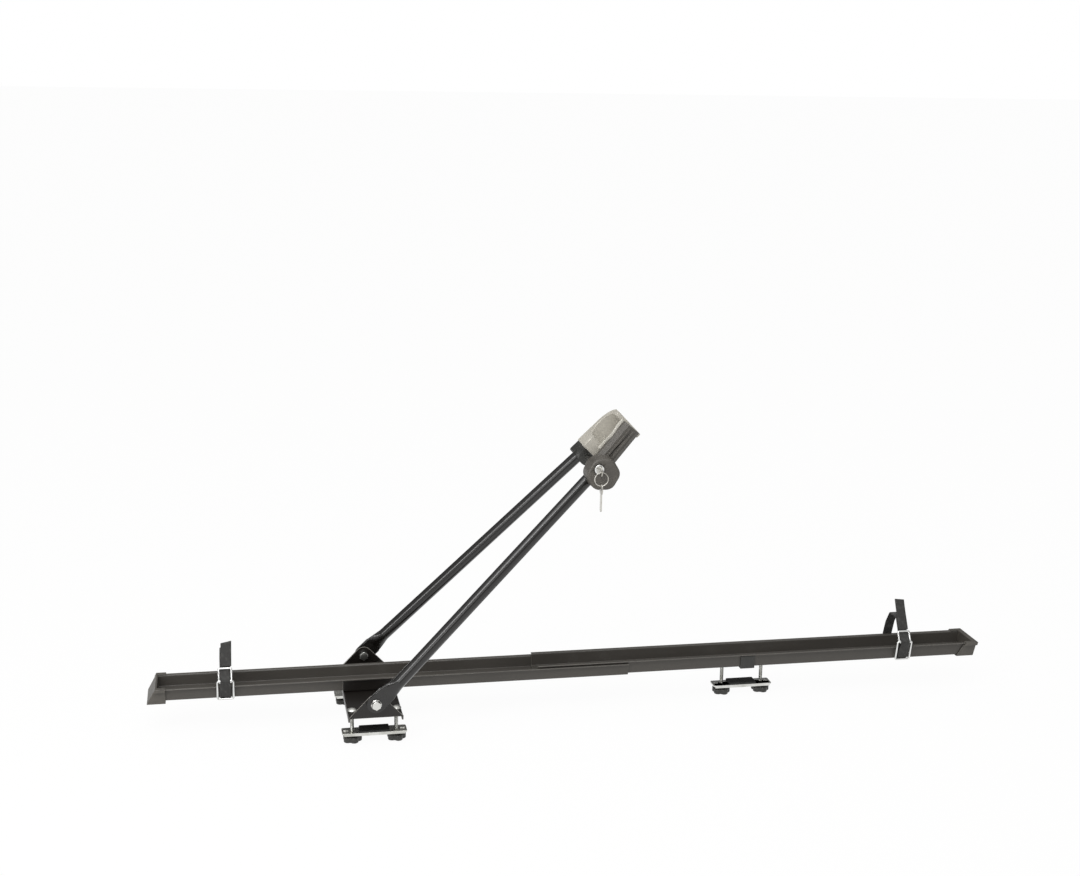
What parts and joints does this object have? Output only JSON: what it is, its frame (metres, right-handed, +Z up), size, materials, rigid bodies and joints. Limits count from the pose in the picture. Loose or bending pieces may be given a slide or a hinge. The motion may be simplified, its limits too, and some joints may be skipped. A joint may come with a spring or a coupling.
{
  "type": "roof mounted bike carrier",
  "caption": "Roof bar bike carrier: telescoping wheel channel on clamped base plate, folding twin arms with a lockable knob-tightened frame clamp, and buckled wheel straps.",
  "frame": {"origin": "centre of the rubber face that rests on the front roof bar, on the rail's centre plane", "axes": "+X along the rail towards the bicycle's rear wheel, +Z up, -Y towards the side with the knob and lock"},
  "size_m": [1.3735, 0.2367, 0.4956],
  "materials": {
    "satin_black_paint": "satin powder coat",
    "plate_black_paint": "satin powder coat",
    "gloss_black_paint": "gloss powder coat",
    "bright_zinc": "bright zinc plate",
    "chrome_plate": "polished chrome",
    "dark_rubber": "matt",
    "pale_rubber": "matt",
    "dark_moulding": "moulded satin",
    "pale_moulding": "moulded satin",
    "black_moulding": "moulded satin",
    "black_webbing": "woven"
  },
  "bodies": {
    "root": {"front_rail": "satin_black_paint", "front_end_cap": "dark_moulding", "base_plate": "plate_black_paint", "front_bar_pad": "dark_rubber", "front_saddle": "plate_black_paint", "rail_bolts": "bright_zinc", "rail_nuts": "bright_zinc", "joint_bolts": "bright_zinc", "joint_nuts": "bright_zinc", "pivot_bolts": "bright_zinc", "pivot_nuts": "bright_zinc", "pivot_washers": "black_moulding", "near_clamp_bolts": "bright_zinc", "far_clamp_bolts": "bright_zinc", "front_strap": "black_webbing", "front_buckle_frame": "chrome_plate"},
    "arms": {"far_arm": "gloss_black_paint", "far_jaw": "pale_moulding", "far_ferrule": "black_moulding", "head_bolt": "bright_zinc", "head_nut": "bright_zinc"},
    "near_side": {"near_arm": "gloss_black_paint", "near_jaw": "dark_moulding", "near_jaw_liner": "pale_rubber"},
    "knob": {"head_knob": "dark_moulding", "lock_barrel": "chrome_plate"},
    "plug": {"lock_plug": "chrome_plate", "lock_key": "chrome_plate"},
    "keys": {"key_ring": "chrome_plate", "spare_key": "chrome_plate"},
    "rear_section": {"rear_rail": "satin_black_paint", "rear_end_cap": "dark_moulding", "rear_strap": "black_webbing", "rear_buckle_frame": "chrome_plate"},
    "rear_clamp": {"rear_saddle": "black_moulding", "rear_clamp_bolts": "bright_zinc"},
    "front_lever": {"front_buckle_lever": "chrome_plate"},
    "rear_lever": {"rear_buckle_lever": "chrome_plate"},
    "near_plate": {"near_clamp_plate": "bright_zinc", "near_clamp_pad": "dark_rubber"},
    "near_knob_front": {"near_clamp_knob_front": "black_moulding"},
    "near_knob_back": {"near_clamp_knob_back": "black_moulding"},
    "far_plate": {"far_clamp_plate": "bright_zinc", "far_clamp_pad": "dark_rubber"},
    "far_knob_front": {"far_clamp_knob_front": "black_moulding"},
    "far_knob_back": {"far_clamp_knob_back": "black_moulding"},
    "rear_plate": {"rear_clamp_plate": "bright_zinc", "rear_clamp_pad": "dark_rubber"},
    "rear_knob_front": {"rear_clamp_knob_front": "black_moulding"},
    "rear_knob_back": {"rear_clamp_knob_back": "black_moulding"}
  },
  "joints": [
    {"name": "arm_fold", "type": "hinge", "parent": "root", "child": "arms", "pos_m": [0, 0, 0.0265], "axis": [0, -1, 0], "range_deg": [-40, 60]},
    {"name": "near_arm_swing", "type": "hinge", "parent": "arms", "child": "near_side", "pos_m": [0, -0.1378, 0.0265], "axis": [-0.6884, 0, 0.7254], "range_deg": [-1, 0.3]},
    {"name": "head_knob_turn", "type": "hinge", "parent": "near_side", "child": "knob", "pos_m": [0.35471, -0.0743, 0.36311], "axis": [0, 1, 0], "range_deg": [-2450, 730]},
    {"name": "key_turn", "type": "hinge", "parent": "knob", "child": "plug", "pos_m": [0.34699, -0.1003, 0.3723], "axis": [0, 1, 0], "range_deg": [0, 90]},
    {"name": "key_ring_swing", "type": "hinge", "parent": "plug", "child": "keys", "pos_m": [0.34699, -0.11725, 0.3723], "axis": [-1, 0, 0], "range_deg": [-10, 50]},
    {"name": "rail_slide", "type": "slide", "parent": "root", "child": "rear_section", "axis": [1, 0, 0], "range_m": [-0.115, 0.038]},
    {"name": "rear_clamp_slide", "type": "slide", "parent": "rear_section", "child": "rear_clamp", "axis": [1, 0, 0], "range_m": [-0.036, 0.084]},
    {"name": "front_buckle_open", "type": "hinge", "parent": "root", "child": "front_lever", "pos_m": [-0.2235, -0.0411, 0.0375], "axis": [1, 0, 0], "range_deg": [0, 120]},
    {"name": "rear_buckle_open", "type": "hinge", "parent": "rear_section", "child": "rear_lever", "pos_m": [0.895, -0.0391, 0.0415], "axis": [1, 0, 0], "range_deg": [0, 120]},
    {"name": "near_clamp_travel", "type": "slide", "parent": "root", "child": "near_plate", "axis": [0, 0, 1], "range_m": [-0.01, 0.006]},
    {"name": "near_knob_front_turn", "type": "hinge", "parent": "near_plate", "child": "near_knob_front", "pos_m": [-0.034, -0.105, -0.034], "axis": [0, 0, 1], "range_deg": [-3590, 2150]},
    {"name": "near_knob_back_turn", "type": "hinge", "parent": "near_plate", "child": "near_knob_back", "pos_m": [0.034, -0.105, -0.034], "axis": [0, 0, 1], "range_deg": [-3590, 2150]},
    {"name": "far_clamp_travel", "type": "slide", "parent": "root", "child": "far_plate", "axis": [0, 0, 1], "range_m": [-0.01, 0.006]},
    {"name": "far_knob_front_turn", "type": "hinge", "parent": "far_plate", "child": "far_knob_front", "pos_m": [-0.034, 0.05, -0.034], "axis": [0, 0, 1], "range_deg": [-3590, 2150]},
    {"name": "far_knob_back_turn", "type": "hinge", "parent": "far_plate", "child": "far_knob_back", "pos_m": [0.034, 0.05, -0.034], "axis": [0, 0, 1], "range_deg": [-3590, 2150]},
    {"name": "rear_clamp_travel", "type": "slide", "parent": "rear_clamp", "child": "rear_plate", "axis": [0, 0, 1], "range_m": [-0.01, 0.006]},
    {"name": "rear_knob_front_turn", "type": "hinge", "parent": "rear_plate", "child": "rear_knob_front", "pos_m": [0.59, 0, -0.034], "axis": [0, 0, 1], "range_deg": [-3590, 2150]},
    {"name": "rear_knob_back_turn", "type": "hinge", "parent": "rear_plate", "child": "rear_knob_back", "pos_m": [0.658, 0, -0.034], "axis": [0, 0, 1], "range_deg": [-3590, 2150]}
  ],
  "couplings": [
    {"joint": "near_arm_swing", "follows": "head_knob_turn", "ratio": 0.00040684},
    {"joint": "near_clamp_travel", "follows": "near_knob_front_turn", "m_per_rad": 0.00015915},
    {"joint": "near_knob_back_turn", "follows": "near_knob_front_turn", "ratio": 1},
    {"joint": "far_clamp_travel", "follows": "far_knob_front_turn", "m_per_rad": 0.00015915},
    {"joint": "far_knob_back_turn", "follows": "far_knob_front_turn", "ratio": 1},
    {"joint": "rear_clamp_travel", "follows": "rear_knob_front_turn", "m_per_rad": 0.00015915},
    {"joint": "rear_knob_back_turn", "follows": "rear_knob_front_turn", "ratio": 1}
  ]
}
